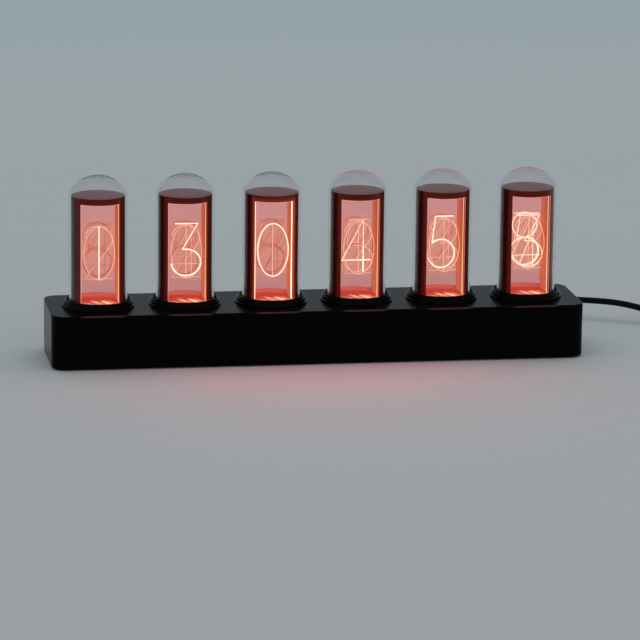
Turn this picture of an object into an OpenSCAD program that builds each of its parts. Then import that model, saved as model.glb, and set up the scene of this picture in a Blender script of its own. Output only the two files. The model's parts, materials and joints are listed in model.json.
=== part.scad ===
// Desk clock with six digit tubes on a low machined housing.
// Each tube holds ten clear plates, one digit on each, lit from their lower edge.
// Millimetres. X runs along the housing, -Y is the front, +Z is up.
// The origin is on the desk, under the middle of the housing.

/* [Housing] */
// Length of the housing
housing_l = 275.4; // [272:0.2:300]
// Depth of the housing, front to back
housing_d = 53; // [51:0.5:64]
// Height of the housing without its feet
housing_h = 27.3; // [26.7:0.1:34]
// Radius of the four upright corners
corner_r = 7; // [5.5:0.5:12]
// Radius of the rounding along the top and bottom edges
edge_r = 0.6; // [0.3:0.1:0.9]
// Thickness of the four side walls
wall_t = 2.5; // [2:0.1:3]
// Thickness of the deck that carries the collars
deck_t = 3; // [2.4:0.1:3.6]

/* [Bottom cover] */
// Thickness of the bottom cover
cover_t = 1.5; // [1.4:0.1:2]
// Width of the step in the walls that the cover lies in
rebate_w = 1; // [0.8:0.1:1.2]
// Gap between the cover's rim and the walls
cover_gap = 0.15; // [0.1:0.05:0.3]
// Radius of each rubber foot
foot_r = 5; // [4:0.5:7]
// Height that the feet lift the housing off the desk
foot_rise = 0.8; // [0.6:0.1:2]
// Distance of each foot's middle from the housing's ends and sides
foot_inset = 16; // [15:0.5:20]
// Radius of the bosses that the cover is screwed to
boss_r = 3; // [2.6:0.1:3.4]

/* [Collars] */
// Radius of the collar's flange on the deck
flange_r = 18.7; // [18.2:0.1:20]
// Thickness of the flange
flange_t = 1; // [0.8:0.1:1.4]
// Radius of the collar's body above the flange
collar_r = 17.9; // [17.8:0.1:18.1]
// Height of the collar's body above the deck
collar_h = 2.7; // [2.4:0.1:3]
// Height of the collar's lip above the deck
lip_h = 3.9; // [3.7:0.1:4.4]
// Width of the lip's rounded rim
lip_w = 0.9; // [0.7:0.1:1]
// Thickness of the inner ledge that the glass stands on
ledge_t = 1; // [0.8:0.1:1.4]
// Wall of the collar's spigot through the deck
spigot_w = 1.1; // [0.9:0.1:1.3]

/* [Glass covers] */
// Distance of the first and last tube's middle from the housing's ends
tube_inset = 26.07; // [25.5:0.01:27]
// Outer radius of the glass covers
glass_r = 15; // [14.9:0.1:15.3]
// Wall of the glass
glass_wall = 0.9; // [0.7:0.1:1.1]
// Height of the glass dome's top above the deck
glass_rise = 67.7; // [66.5:0.1:72]
// Radius of the dome's crown
crown_r = 17.25; // [16.5:0.25:20]
// Radius of the dome's shoulder
knuckle_r = 6; // [5:0.5:7]

/* [Sleeves] */
// Gap between a sleeve and the glass around it
sleeve_gap = 0.3; // [0.25:0.05:0.5]
// Wall of the sleeve
sleeve_wall = 1; // [0.8:0.1:1.2]
// Height of the sleeve's top above the deck
sleeve_rise = 57.6; // [56:0.1:58]
// Thickness of the sleeve's closed top
sleeve_cap_t = 1.2; // [1:0.1:1.6]
// Width of the front and back windows
window_w = 20.2; // [18:0.1:20.6]
// Height of the windows' lower edge above the deck
window_low = 3.2; // [3:0.1:5]
// Height of the windows' upper edge above the deck
window_high = 54.1; // [50:0.1:55]
// Thickness of the flange at the sleeve's foot
skirt_t = 1.5; // [1.2:0.1:2]
// Width by which that flange passes the hole in the deck
skirt_w = 1.1; // [0.8:0.1:1.6]
// Length of the sleeve below the deck
skirt_h = 5.1; // [4.8:0.1:5.4]

/* [Light plates] */
// Number of clear plates in each tube
plate_count = 10; // [8:1:10]
// Thickness of a plate
plate_t = 1; // [0.8:0.1:1.1]
// Distance from one plate to the next
plate_pitch = 1.5; // [1.4:0.05:1.55]
// Width of a plate
plate_w = 19.2; // [18:0.1:19.8]
// Gap between the plates' tops and the sleeve's closed top
plate_head_gap = 0.3; // [0.2:0.1:1]
// Height of the plates' seats above the small boards
plate_seat_h = 2.6; // [2.4:0.1:3]
// Ledge under each end of a plate
plate_ledge = 1.8; // [1.4:0.1:2.4]
// Height of the holder's top above the windows' lower edge
holder_proud = 0.1; // [0:0.1:0.4]

/* [Circuit boards] */
// Thickness of the circuit boards
pcb_t = 1.6; // [1.2:0.2:1.6]
// Radius of the small round board under each tube
led_board_r = 15.5; // [15:0.1:16]
// Gap between the main board's ends and the housing's end walls
board_end_gap = 10.2; // [9.6:0.1:12]
// Depth of the main board
main_d = 35; // [33:0.5:35.5]
// Height of the socket strips on the main board
socket_h = 8.5; // [8.3:0.1:8.6]
// Height of the plug strips under the small boards
strip_h = 2.5; // [2.3:0.1:2.6]
// Distance of the socket strips from the tube's middle
strip_y = 11.4; // [10.5:0.1:11.6]
// Number of pins in a strip
pin_count = 6; // [4:1:6]

/* [Buttons] */
// Radius of the round buttons in the back
button_r = 3; // [2.5:0.1:3.2]
// Distance that a button stands out of the back
button_proud = 0.9; // [0.8:0.1:1.2]
// Travel of a button
button_travel = 0.6; // [0.4:0.1:0.7]
// Distance from one button to the next
button_pitch = 15; // [13:0.5:16]
// Distance from the middle button to the power socket
button_to_jack = 45; // [43:0.5:46]

/* [Power lead] */
// Distance of the power socket's middle from the housing's right end
jack_inset = 25.7; // [24.5:0.1:27.5]
// Diameter of the power lead
cord_d = 3.4; // [3.4:0.1:3.6]
// Radius of the coil's outer turn, at the middle of the lead
coil_r = 26.3; // [26:0.1:28]
// Number of turns in each of the coil's two layers
layer_turns = 3.5; // [2.5:1:3.5]
// Distance between turns side by side and between the layers
coil_step = 3.9; // [3.9:0.05:4.1]

/* [Hidden] */
$fn = 96;

tube_count = 6;
tube_pitch = (housing_l - 2*tube_inset)/(tube_count - 1);
jack_x = housing_l/2 - jack_inset;
button_x = jack_x - button_to_jack;
main_l = housing_l - 2*(wall_t + board_end_gap);
fit_gap = 0.08;      // radial clearance of pieces that fit into each other
eps = 0.01;          // overlap of joined volumes and overrun of cuts

// levels, from the desk up
z_base = foot_rise;
z_deck = z_base + housing_h;
z_ceiling = z_deck - deck_t;
z_led = z_ceiling - skirt_h;
z_board = z_led - pcb_t - strip_h - socket_h;
z_rim = z_ceiling + ledge_t;
z_sleeve = z_deck + sleeve_rise;
z_window = z_deck + window_low;

// radii of what stands in one tube
sleeve_r = glass_r - glass_wall - sleeve_gap;
sleeve_bore = sleeve_r - sleeve_wall;
glass_gap = 0.3;     // gap between a glass cover and its collar
collar_bore = glass_r + glass_gap;
spigot_r = collar_bore + spigot_w;
deck_hole_r = spigot_r + fit_gap;
skirt_r = deck_hole_r + skirt_w;
holder_r = sleeve_bore - fit_gap;

// screws with a 2.4 mm shank
screw_r = 1.2;
pilot_r = 1.25;
pass_r = 1.4;
screw_head_r = 2.3;
screw_l = 8;

// bosses for the cover, fused a little into the walls
boss_bite = 0.4;
boss_x = housing_l/2 - wall_t - boss_r + boss_bite;
boss_y = housing_d/2 - wall_t - boss_r + boss_bite;
boss_spots = [for (x = [-boss_x, 0, boss_x], y = [-boss_y, boss_y]) [x, y]];

// posts that hold the main board, between the tubes
post_r = 3;
post_y = 14;
post_spots = [for (x = [-2, 0, 2]*tube_pitch, y = [-post_y, post_y]) [x, y]];

// buttons and their switches
button_names = ["minus", "mode", "plus"];
button_flange_w = 1;
button_flange_t = 1;
button_stem_r = 1.4;
switch_w = 6;
switch_h = 6;
switch_d = 3.5;
switch_bore_r = button_stem_r + fit_gap;
switch_bore_l = 2.2;
switch_gap = 1.8;    // from the button's flange to the switch
z_button = z_board + switch_h/2;
button_in_y = housing_d/2 - wall_t;
switch_y = button_in_y - button_flange_t - switch_gap;

// power socket, flush with the back
jack_w = 8.94;
jack_h = 3.2;
jack_l = 7.3;
jack_skin = 0.3;
jack_gap = 0.2;
z_jack = z_board + jack_h/2;
jack_y = housing_d/2;

// light-emitting diodes
led_l = 1.6;
led_w = 0.8;
led_h = 0.6;
led_x = 4.5;

pin_pitch = 2.54;
strip_w = 2.5;

// small parts on the main board
coin_r = 6.25;
coin_t = 2;
coin_wall = 1.1;
processor_w = 7;
processor_t = 1.2;
driver_l = 10;
driver_d = 7.5;
driver_t = 2.3;
memory_l = 5;
memory_d = 3.8;
memory_t = 1.6;
crystal_l = 3.2;
crystal_d = 2.5;
crystal_t = 0.8;
crystal_y = 7;
memory_y = 8;
can_r = 2.5;
can_h = 5.4;
can_y = 8.4;

// plugs
plug_w = 12;
plug_h = 6.2;
plug_l = 20.5;
plug_shell_w = 8.25;
plug_shell_h = 2.4;
plug_shell_l = 6.2;
relief_l = 10;
supply_w = 15.6;
supply_h = 8;
supply_l = 26;
supply_shell_w = 12;
supply_shell_h = 4.5;
supply_shell_l = 16;
supply_relief_l = 9;

// route of the lead: X and Y from the middle of the socket's mouth, Z from the desk
lead_points = [
  [0, 30.5, 9], [0, 34.5, 9], [0.7, 39.5, 9], [3, 44.5, 9.1], [6.6, 48.4, 9.2],
  [11.3, 50.9, 9.3], [16.5, 51.8, 9.4], [22, 51.1, 9.5], [28, 48.5, 9.6],
  [34, 45.3, 9.7], [40, 42.1, 9.8], [46.3, 38.7, 10], [52.6, 35.2, 10.2],
  [59, 31.6, 10.2], [64, 28.7, 9.9], [69, 25.8, 9.3], [74, 23.1, 8.3],
  [79, 20.4, 6.8], [84, 17.6, 5], [88.4, 15, 3.4], [91.8, 13, 2.5], [95, 11.2, 2.3]];
cord_route = [for (p = lead_points) [jack_x + p[0], jack_y + p[1], p[2]]];
coil_heading = -30;      // the lead's direction where the coil starts, from +X
cord_r = cord_d/2;
cord_sides = 8;
coil_sides = 6;
rings_per_turn = 24;
coil_start = cord_route[len(cord_route) - 1];
coil_dir = [cos(coil_heading), sin(coil_heading), 0];
coil_left = [-sin(coil_heading), cos(coil_heading), 0];
coil_turns = 2*layer_turns;
coil_mouth = coil_start + cord_d*coil_dir;
coil_centre = coil_mouth + coil_r*coil_left;
coil_high = coil_start[2] + coil_step;
// the lead's end beyond the coil: distance from the mouth and height
tail = [[5, coil_high - 0.2], [10, coil_high - 1.1], [15, 4.4], [18.6, 4.1], [18.6 + cord_d, 4.1]];
z_supply = tail[len(tail) - 1][1];
supply_at = tail[len(tail) - 1][0];
tie_t = 0.5;
tie_w = 7;
tie_gap = 0.05;      // above and below the turns
tie_slack = 0.4;     // beside the inner and the outer turn

housing_c = "#141517";
collar_c = "#0c0c0d";
glass_c = [0.85, 0.9, 0.92, 0.35];
sleeve_c = "#2a1414";
plate_c = [1, 0.75, 0.7, 0.5];
holder_c = "#c8402c";
board_c = "#1d4a2a";
strip_c = "#1b1b1d";
metal_c = "#b8bbc0";
rubber_c = "#202022";
cord_c = "#101012";

function tube_x(i) = (i - (tube_count + 1)/2)*tube_pitch;

// ---- shared forms ----

module rounded_rect(l, d, r) {
  square([l - 2*r, d], center = true);
  square([l, d - 2*r], center = true);
  for (x = [-1, 1], y = [-1, 1]) translate([x*(l/2 - r), y*(d/2 - r)]) circle(r);
}

module stadium(w, h) {
  square([w - h, h], center = true);
  for (x = [-1, 1]) translate([x*(w - h)/2, 0]) circle(h/2);
}

// sweeps a profile, drawn outwards from 0, round a rectangle with round corners
module rim_sweep(l, d, r) {
  sides = [[l/2, d - 2*r, 0], [d/2, l - 2*r, 90], [l/2, d - 2*r, 180], [d/2, l - 2*r, 270]];
  for (s = sides) rotate(s[2]) translate([s[0], s[1]/2, 0]) rotate([90, 0, 0])
    linear_extrude(s[1]) children();
  for (x = [-1, 1], y = [-1, 1]) translate([x*(l/2 - r), y*(d/2 - r), 0])
    rotate(x > 0 ? (y > 0 ? 0 : 270) : (y > 0 ? 90 : 180))
      rotate_extrude(angle = 90) translate([r, 0]) children();
}

// what a rounding of radius r takes off an edge at 0, with the body towards -x and -y
module rounding(r, over = 1) {
  difference() {
    translate([-r, -r]) square(r + over);
    translate([-r, -r]) circle(r);
  }
}

// stands a piece on the back of the housing, with its own +Z pointing out of the back
module on_back(x, y, z) {
  translate([x, y, z]) rotate([-90, 0, 0]) children();
}

// the same, along the lead's direction where the coil starts
module along_tail(distance, z) {
  translate([coil_mouth[0], coil_mouth[1], 0] + distance*coil_dir + [0, 0, z])
    rotate([0, 0, coil_heading]) rotate([0, 90, 0]) rotate(90) children();
}

module tube_hole(r, z0, z1) {
  translate([0, 0, z0]) cylinder(r = r, h = z1 - z0);
}

// ---- housing and bottom ----

module housing() {
  color(housing_c) difference() {
    union() {
      difference() {
        translate([0, 0, z_base]) linear_extrude(housing_h) rounded_rect(housing_l, housing_d, corner_r);
        translate([0, 0, z_base - eps]) linear_extrude(z_ceiling - z_base + eps)
          rounded_rect(housing_l - 2*wall_t, housing_d - 2*wall_t, corner_r - wall_t);
      }
      for (s = boss_spots) translate([s[0], s[1], z_base + cover_t])
        cylinder(r = boss_r, h = z_ceiling - z_base - cover_t + eps);
      for (s = post_spots) translate([s[0], s[1], z_board])
        cylinder(r = post_r, h = z_ceiling - z_board + eps);
    }
    translate([0, 0, z_deck]) rim_sweep(housing_l, housing_d, corner_r) rounding(edge_r);
    translate([0, 0, z_base]) rim_sweep(housing_l, housing_d, corner_r)
      mirror([0, 1]) rounding(edge_r);
    translate([0, 0, z_base - eps]) linear_extrude(cover_t + eps)
      rounded_rect(housing_l - 2*(wall_t - rebate_w), housing_d - 2*(wall_t - rebate_w),
        corner_r - wall_t + rebate_w);
    for (i = [1:tube_count]) translate([tube_x(i), 0, 0])
      tube_hole(deck_hole_r, z_ceiling - eps, z_deck + 1);
    for (s = boss_spots) translate([s[0], s[1], z_base]) cylinder(r = pilot_r, h = cover_t + screw_l);
    for (s = post_spots) translate([s[0], s[1], z_board - eps]) cylinder(r = pilot_r, h = screw_l);
    for (i = [-1:1]) on_back(button_x + i*button_pitch, button_in_y - 1, z_button)
      cylinder(r = button_r + fit_gap, h = wall_t + 2);
    on_back(jack_x, button_in_y - 1, z_jack) linear_extrude(wall_t + 2)
      stadium(jack_w + 2*jack_gap, jack_h + 2*jack_gap);
  }
}

module bottom_cover() {
  cut = wall_t - rebate_w + cover_gap;
  color(housing_c) difference() {
    translate([0, 0, z_base]) linear_extrude(cover_t)
      rounded_rect(housing_l - 2*cut, housing_d - 2*cut, corner_r - cut);
    for (s = boss_spots) translate([s[0], s[1], z_base - eps]) {
      cylinder(r = pass_r, h = cover_t + 2*eps);
      cylinder(r1 = screw_head_r + fit_gap + eps, r2 = pass_r, h = screw_head_r - pass_r + fit_gap + eps);
    }
  }
}

// countersunk screw, head down at z 0
module flat_screw() {
  difference() {
    union() {
      cylinder(r1 = screw_head_r, r2 = screw_r, h = screw_head_r - screw_r);
      cylinder(r = screw_r, h = screw_l);
    }
    translate([0, 0, -eps]) cylinder(r = 0.8, h = 0.7, $fn = 6);
  }
}

module cover_screws() {
  color(metal_c) for (s = boss_spots) translate([s[0], s[1], z_base]) flat_screw();
}

module feet() {
  foot_edge = 0.3;
  color(rubber_c)
    for (x = [-1, 1], y = [-1, 1])
      translate([x*(housing_l/2 - foot_inset), y*(housing_d/2 - foot_inset), 0]) {
        cylinder(r1 = foot_r - foot_edge, r2 = foot_r, h = foot_edge);
        translate([0, 0, foot_edge]) cylinder(r = foot_r, h = foot_rise - foot_edge);
      }
}

// ---- what stands in each tube ----

module collar(i) {
  recess_w = 0.8;
  recess_h = 2.1;
  step_r = 0.4;
  lip_r = collar_bore + recess_w + lip_w;
  color(collar_c) translate([tube_x(i), 0, 0]) rotate_extrude() {
    // ledge and spigot, inside the deck
    translate([sleeve_r + sleeve_gap, z_ceiling]) square([spigot_r - sleeve_r - sleeve_gap, ledge_t]);
    translate([collar_bore, z_ceiling]) square([spigot_w, deck_t + eps]);
    // flange on the deck, with a round rim
    translate([collar_bore, z_deck]) square([flange_r - collar_bore - flange_t/2, flange_t]);
    translate([flange_r - flange_t/2, z_deck + flange_t/2]) circle(flange_t/2);
    // body with a rounded shoulder
    translate([collar_bore, z_deck]) square([collar_r - collar_bore, collar_h - step_r]);
    translate([collar_bore, z_deck]) square([collar_r - collar_bore - step_r, recess_h]);
    translate([lip_r - lip_w, z_deck]) square([collar_r - step_r - lip_r + lip_w, collar_h]);
    translate([collar_r - step_r, z_deck + collar_h - step_r]) circle(step_r);
    // lip with a round top
    translate([lip_r - lip_w, z_deck]) square([lip_w, lip_h - lip_w/2]);
    translate([lip_r - lip_w/2, z_deck + lip_h - lip_w/2]) circle(lip_w/2);
  }
}

// half outline of a domed tube of outer radius r, for a dome grown or shrunk by g
module dome_outline(g, z0) {
  knuckle_x = glass_r - knuckle_r;
  drop = sqrt(pow(crown_r - knuckle_r, 2) - pow(knuckle_x, 2));
  z_crown = z_deck + glass_rise - crown_r;
  z_knuckle = z_crown + drop;
  far = 2*crown_r;
  translate([0, z0]) square([glass_r + g, z_knuckle - z0]);
  translate([0, z_knuckle - eps]) square([knuckle_x, eps + knuckle_r/2]);
  intersection() {
    translate([knuckle_x, z_knuckle]) circle(knuckle_r + g);
    translate([0, z_knuckle - 1]) square([glass_r + g, far]);
  }
  intersection() {
    translate([0, z_crown]) circle(crown_r + g);
    translate([0, z_crown]) polygon([[0, 0], [far*knuckle_x/(crown_r - knuckle_r),
      far*drop/(crown_r - knuckle_r)], [0, far]]);
  }
}

module glass_cover(i) {
  color(glass_c) translate([tube_x(i), 0, 0]) rotate_extrude() difference() {
    dome_outline(0, z_rim);
    dome_outline(-glass_wall, z_rim - 1);
  }
}

module sleeve(i) {
  cap_r = 0.5;
  color(sleeve_c) translate([tube_x(i), 0, 0]) difference() {
    union() {
      rotate_extrude() {
        translate([0, z_led]) square([sleeve_r, z_sleeve - z_led - cap_r]);
        translate([0, z_led]) square([sleeve_r - cap_r, z_sleeve - z_led]);
        translate([sleeve_r - cap_r, z_sleeve - cap_r]) circle(cap_r);
      }
      translate([0, 0, z_ceiling - skirt_t]) cylinder(r = skirt_r, h = skirt_t);
    }
    translate([0, 0, z_led - eps]) cylinder(r = sleeve_bore, h = z_sleeve - sleeve_cap_t - z_led + eps);
    translate([-window_w/2, -glass_r, z_window]) cube([window_w, 2*glass_r, window_high - window_low]);
  }
}

plate_z = z_led + plate_seat_h;
plate_top = z_sleeve - sleeve_cap_t - plate_head_gap;
plate_rows = [for (k = [0:plate_count - 1]) (k - (plate_count - 1)/2)*plate_pitch];

module digit_plates(i) {
  color(plate_c) for (y = plate_rows)
    translate([tube_x(i) - plate_w/2, y - plate_t/2, plate_z])
      cube([plate_w, plate_t, plate_top - plate_z]);
}

module plate_holder(i) {
  slot_gap = 0.06;
  pocket_wall = 1.5;
  pocket_h = 1.9;
  top = z_window + holder_proud;
  color(holder_c) translate([tube_x(i), 0, 0]) difference() {
    translate([0, 0, z_led]) cylinder(r = holder_r, h = top - z_led);
    // pocket round the lamps
    translate([0, 0, z_led - eps]) cylinder(r = holder_r - pocket_wall, h = pocket_h + eps);
    for (y = plate_rows) {
      // slot that holds a plate, and the light window under it
      translate([-plate_w/2 - slot_gap, y - plate_t/2 - slot_gap, plate_z])
        cube([plate_w + 2*slot_gap, plate_t + 2*slot_gap, top - plate_z + 1]);
      translate([-plate_w/2 + plate_ledge, y - plate_t/2, z_led + pocket_h - eps])
        cube([plate_w - 2*plate_ledge, plate_t, plate_seat_h - pocket_h + 2*eps]);
    }
  }
}

module led_board(i) {
  translate([tube_x(i), 0, 0]) {
    color(board_c) translate([0, 0, z_led - pcb_t]) cylinder(r = led_board_r, h = pcb_t);
    color("#f4e2b0") for (y = plate_rows, x = [-led_x, led_x])
      translate([x - led_l/2, y - led_w/2, z_led]) cube([led_l, led_w, led_h]);
    color(strip_c) for (s = [-1, 1])
      translate([-pin_count*pin_pitch/2, s*strip_y - strip_w/2, z_led - pcb_t - strip_h])
        cube([pin_count*pin_pitch, strip_w, strip_h]);
  }
}

// ---- electronics in the housing ----

module main_board() {
  tab_d = 3.6;
  tab_r = 1;
  tab_x0 = button_x - button_pitch - switch_w;
  tab_x1 = jack_x + jack_w/2 + 4;
  color(board_c) translate([0, 0, z_board - pcb_t]) linear_extrude(pcb_t) difference() {
    union() {
      rounded_rect(main_l, main_d, 2);
      translate([(tab_x0 + tab_x1)/2, main_d/2 + tab_d/2 - tab_r])
        rounded_rect(tab_x1 - tab_x0, tab_d + 2*tab_r, tab_r);
    }
    for (s = post_spots) translate(s) circle(pass_r);
  }
}

module board_screws() {
  head_h = 1.5;
  head_r = 2.2;
  color(metal_c) for (s = post_spots) translate([s[0], s[1], z_board - pcb_t]) difference() {
    union() {
      translate([0, 0, -head_h]) cylinder(r = head_r, h = head_h);
      cylinder(r = screw_r, h = screw_l);
    }
    translate([0, 0, -head_h - eps]) cylinder(r = 0.9, h = 0.8, $fn = 6);
  }
}

// chips, crystal and capacitors between the tubes: place, size and height of each
module board_chips() {
  boxes = [
    [0, 0, processor_w, processor_w, processor_t],
    [0, crystal_y, crystal_l, crystal_d, crystal_t],
    [-2*tube_pitch, 0, driver_l, driver_d, driver_t],
    [2*tube_pitch, 0, driver_l, driver_d, driver_t],
    [tube_pitch, 0, memory_l, memory_d, memory_t],
    [tube_pitch, memory_y, memory_l, memory_d, memory_t]];
  cans = [[tube_pitch, -can_y], [-2*tube_pitch, -can_y], [2*tube_pitch, -can_y]];
  color("#18181a") for (b = boxes)
    translate([b[0] - b[2]/2, b[1] - b[3]/2, z_board]) cube([b[2], b[3], b[4]]);
  color(metal_c) for (c = cans) translate([c[0], c[1], z_board]) cylinder(r = can_r, h = can_h);
}

module board_sockets() {
  color(strip_c) for (i = [1:tube_count], s = [-1, 1])
    translate([tube_x(i) - pin_count*pin_pitch/2, s*strip_y - strip_w/2, z_board])
      cube([pin_count*pin_pitch, strip_w, socket_h]);
}

coin_bore = coin_r + fit_gap;
coin_floor = 0.8;

module battery_holder() {
  holder_h = coin_floor + coin_t + 0.9;
  color(strip_c) translate([-tube_pitch, 0, z_board]) difference() {
    union() {
      cylinder(r = coin_bore + coin_wall, h = holder_h);
      translate([-coin_bore - 2.6, -2.5, 0]) cube([2*coin_bore + 5.2, 5, holder_h/2]);
    }
    translate([0, 0, coin_floor]) cylinder(r = coin_bore, h = holder_h);
    translate([-2.2, -coin_bore - 3, coin_floor + 1]) cube([4.4, 5, holder_h]);
  }
}

module coin_cell() {
  rim_w = 0.9;
  rim_t = 0.4;
  color(metal_c) translate([-tube_pitch, 0, z_board + coin_floor]) {
    cylinder(r = coin_r, h = coin_t - rim_t);
    cylinder(r = coin_r - rim_w, h = coin_t);
  }
}

module usb_jack() {
  tongue_w = 6.6;
  tongue_t = 0.7;
  tongue_l = 5;
  floor_t = 0.8;
  color(metal_c) on_back(jack_x, jack_y - jack_l, z_jack) difference() {
    linear_extrude(jack_l) stadium(jack_w, jack_h);
    translate([0, 0, floor_t]) linear_extrude(jack_l)
      stadium(jack_w - 2*jack_skin, jack_h - 2*jack_skin);
  }
  color(strip_c) on_back(jack_x, jack_y - jack_l + floor_t, z_jack)
    translate([-tongue_w/2, -tongue_t/2, 0]) cube([tongue_w, tongue_t, tongue_l]);
}

module switch_bodies() {
  color(strip_c) for (i = [-1:1]) difference() {
    translate([button_x + i*button_pitch - switch_w/2, switch_y - switch_d, z_board])
      cube([switch_w, switch_d, switch_h]);
    on_back(button_x + i*button_pitch, switch_y - switch_bore_l, z_button)
      cylinder(r = switch_bore_r, h = switch_bore_l + 1);
  }
}

// button with a rounded face, a flange inside the wall and a stem into its switch
module button(i) {
  face_r = 0.4;
  cap_l = button_flange_t + wall_t + button_proud;
  stem_in = switch_bore_l - button_travel - 0.3;
  color(metal_c) {
    on_back(button_x + i*button_pitch, button_in_y - button_flange_t, z_button) {
      rotate_extrude() {
        square([button_r, cap_l - face_r]);
        square([button_r - face_r, cap_l]);
        translate([button_r - face_r, cap_l - face_r]) circle(face_r);
        square([button_r + button_flange_w, button_flange_t]);
      }
    }
    on_back(button_x + i*button_pitch, switch_y - stem_in, z_button)
      cylinder(r = button_stem_r, h = stem_in + switch_gap);
  }
}

// ---- power lead ----

// plug body with a grip waist and a tapered strain relief; it points along +Z
module plug_body(w, h, l, relief) {
  step = 1.2;
  grip_r = 8;
  grip_depth = 0.6;
  ring_t = 1.1;
  ring_gap = 2;
  relief_r = cord_r + 1;
  difference() {
    union() {
      linear_extrude(l - step) rounded_rect(w, h, h/2 - 0.6);
      linear_extrude(l) rounded_rect(w - 2*step, h - step, h/2 - step);
    }
    for (s = [-1, 1]) translate([0, s*(h/2 + grip_r - grip_depth), l/2])
      rotate([0, 90, 0]) cylinder(r = grip_r, h = w + 2, center = true);
  }
  // conical relief with ribs
  translate([0, 0, l]) cylinder(r1 = relief_r + 0.6, r2 = cord_r + 0.5, h = relief);
  for (z = [ring_gap/2 : ring_gap : relief - ring_t])
    translate([0, 0, l + z]) cylinder(r = relief_r + 0.6 - 0.6*z/relief, h = ring_t);
}

module cord_plug() {
  color(cord_c) on_back(jack_x, jack_y, z_jack) plug_body(plug_w, plug_h, plug_l, relief_l);
}

module cord_plug_shell() {
  color(metal_c) on_back(jack_x, jack_y - plug_shell_l, z_jack) difference() {
    linear_extrude(plug_shell_l) stadium(plug_shell_w, plug_shell_h);
    translate([0, 0, -eps]) linear_extrude(plug_shell_l - 0.4)
      stadium(plug_shell_w - 0.6, plug_shell_h - 0.6);
  }
}

function unit(v) = v/norm(v);

// points of one ring of n sides, radius r, round point p with tangent t
function ring(p, t, r, n) =
  let (side = unit(cross(t, [0, 0, 1])), up = cross(side, t))
  [for (k = [0:n - 1]) p + r*cos(360*k/n)*up + r*sin(360*k/n)*side];

function tangents(path) = let (n = len(path)) [for (k = [0:n - 1])
  unit(path[min(k + 1, n - 1)] - path[max(k - 1, 0)])];

// closed tube of n sides and radius r along a path, with flat ends square to t0 and t1
module tube_along(path, r, n, t0, t1) {
  m = len(path);
  mid = tangents(path);
  dirs = [for (k = [0:m - 1]) k < 2 ? t0 : k > m - 3 ? t1 : mid[k]];
  points = [for (k = [0:m - 1]) each ring(path[k], dirs[k], r, n)];
  walls = [for (k = [0:m - 2], j = [0:n - 1])
    let (a = k*n + j, b = k*n + (j + 1) % n)
    each [[a, b, b + n], [a, b + n, a + n]]];
  cap0 = [for (j = [1:n - 2]) [0, j + 1, j]];
  cap1 = [for (j = [1:n - 2]) [(m - 1)*n, (m - 1)*n + j, (m - 1)*n + j + 1]];
  polyhedron(points = points, faces = concat(walls, cap0, cap1));
}

module cord_run() {
  color(cord_c) tube_along(cord_route, cord_r, cord_sides, [0, 1, 0], coil_dir);
}

// the coil: it spirals in on the desk, climbs a layer where it turns back, and spirals out
function smooth(u) = let (c = min(max(u, 0), 1)) c*c*(3 - 2*c);
function coil_radius(t) = coil_r - coil_step*(t < layer_turns ? t : coil_turns - t);
function coil_point(t) =
  let (a = coil_heading - 90 + 360*t, r = coil_radius(t),
    z = coil_start[2] + coil_step*smooth(2*(t - layer_turns) + 0.5))
  [coil_centre[0] + r*cos(a), coil_centre[1] + r*sin(a), z];
coil_rings = coil_turns*rings_per_turn;
coil_path = concat(
  [coil_start],
  [for (k = [0:coil_rings]) coil_point(k/rings_per_turn)],
  [for (p = tail) [coil_mouth[0], coil_mouth[1], 0] + p[0]*coil_dir + [0, 0, p[1]]]);

module cord_coil() {
  color(cord_c) tube_along(coil_path, cord_r, coil_sides, coil_dir, coil_dir);
}

// length of the lead, and the least gap between turns more than half a turn apart
function length_of(p) = let (steps = [for (k = [1:len(p) - 1]) norm(p[k] - p[k - 1])])
  steps*[for (s = steps) 1];
coil_least = min([for (a = [0:len(coil_path) - 1], b = [0:len(coil_path) - 1])
  if (b - a > rings_per_turn/2) norm(coil_path[a] - coil_path[b])]) - cord_d;
echo(lead_length = length_of(cord_route) + length_of(coil_path), coil_least_gap = coil_least);  // cord_coil

// band round the turns, on the coil's far side, where the turns of both layers lie in line
module cord_tie() {
  inner_turn_r = coil_r - coil_step*layer_turns;
  from_r = sqrt(pow(inner_turn_r, 2) - pow(tie_w/2, 2)) - cord_r - tie_slack;
  to_r = coil_r - coil_step/2 + cord_r + tie_slack;
  high = coil_step + cord_d + 2*tie_gap;
  corner = 1;
  color(rubber_c) translate([coil_centre[0], coil_centre[1], 0]) rotate(coil_heading + 90)
    translate([(from_r + to_r)/2, tie_w/2, coil_start[2] + coil_step/2]) rotate([90, 0, 0])
      linear_extrude(tie_w) difference() {
        rounded_rect(to_r - from_r + 2*tie_t, high + 2*tie_t, corner + tie_t);
        rounded_rect(to_r - from_r, high, corner);
      }
}

module supply_plug() {
  color(cord_c) along_tail(supply_at + supply_relief_l + supply_l, z_supply) mirror([0, 0, 1])
    plug_body(supply_w, supply_h, supply_l, supply_relief_l);
}

module supply_plug_shell() {
  skin = 0.4;
  floor_t = 1;
  tongue_t = 1.9;
  color(metal_c) along_tail(supply_at + supply_relief_l + supply_l, z_supply) {
    difference() {
      translate([0, 0, supply_shell_l/2])
        cube([supply_shell_w, supply_shell_h, supply_shell_l], center = true);
      translate([0, 0, floor_t + supply_shell_l/2])
        cube([supply_shell_w - 2*skin, supply_shell_h - 2*skin, supply_shell_l], center = true);
      for (s = [-1, 1]) translate([s*supply_shell_w/4, 0, supply_shell_l*0.55])
        cube([2.4, supply_shell_h + 1, 2.4], center = true);
    }
    translate([-(supply_shell_w - 2*skin)/2 + 0.1, -supply_shell_h/2 + skin, floor_t])
      cube([supply_shell_w - 2*skin - 0.2, tongue_t, supply_shell_l - floor_t - 0.6]);
  }
}

// ---- what is drawn ----

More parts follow.
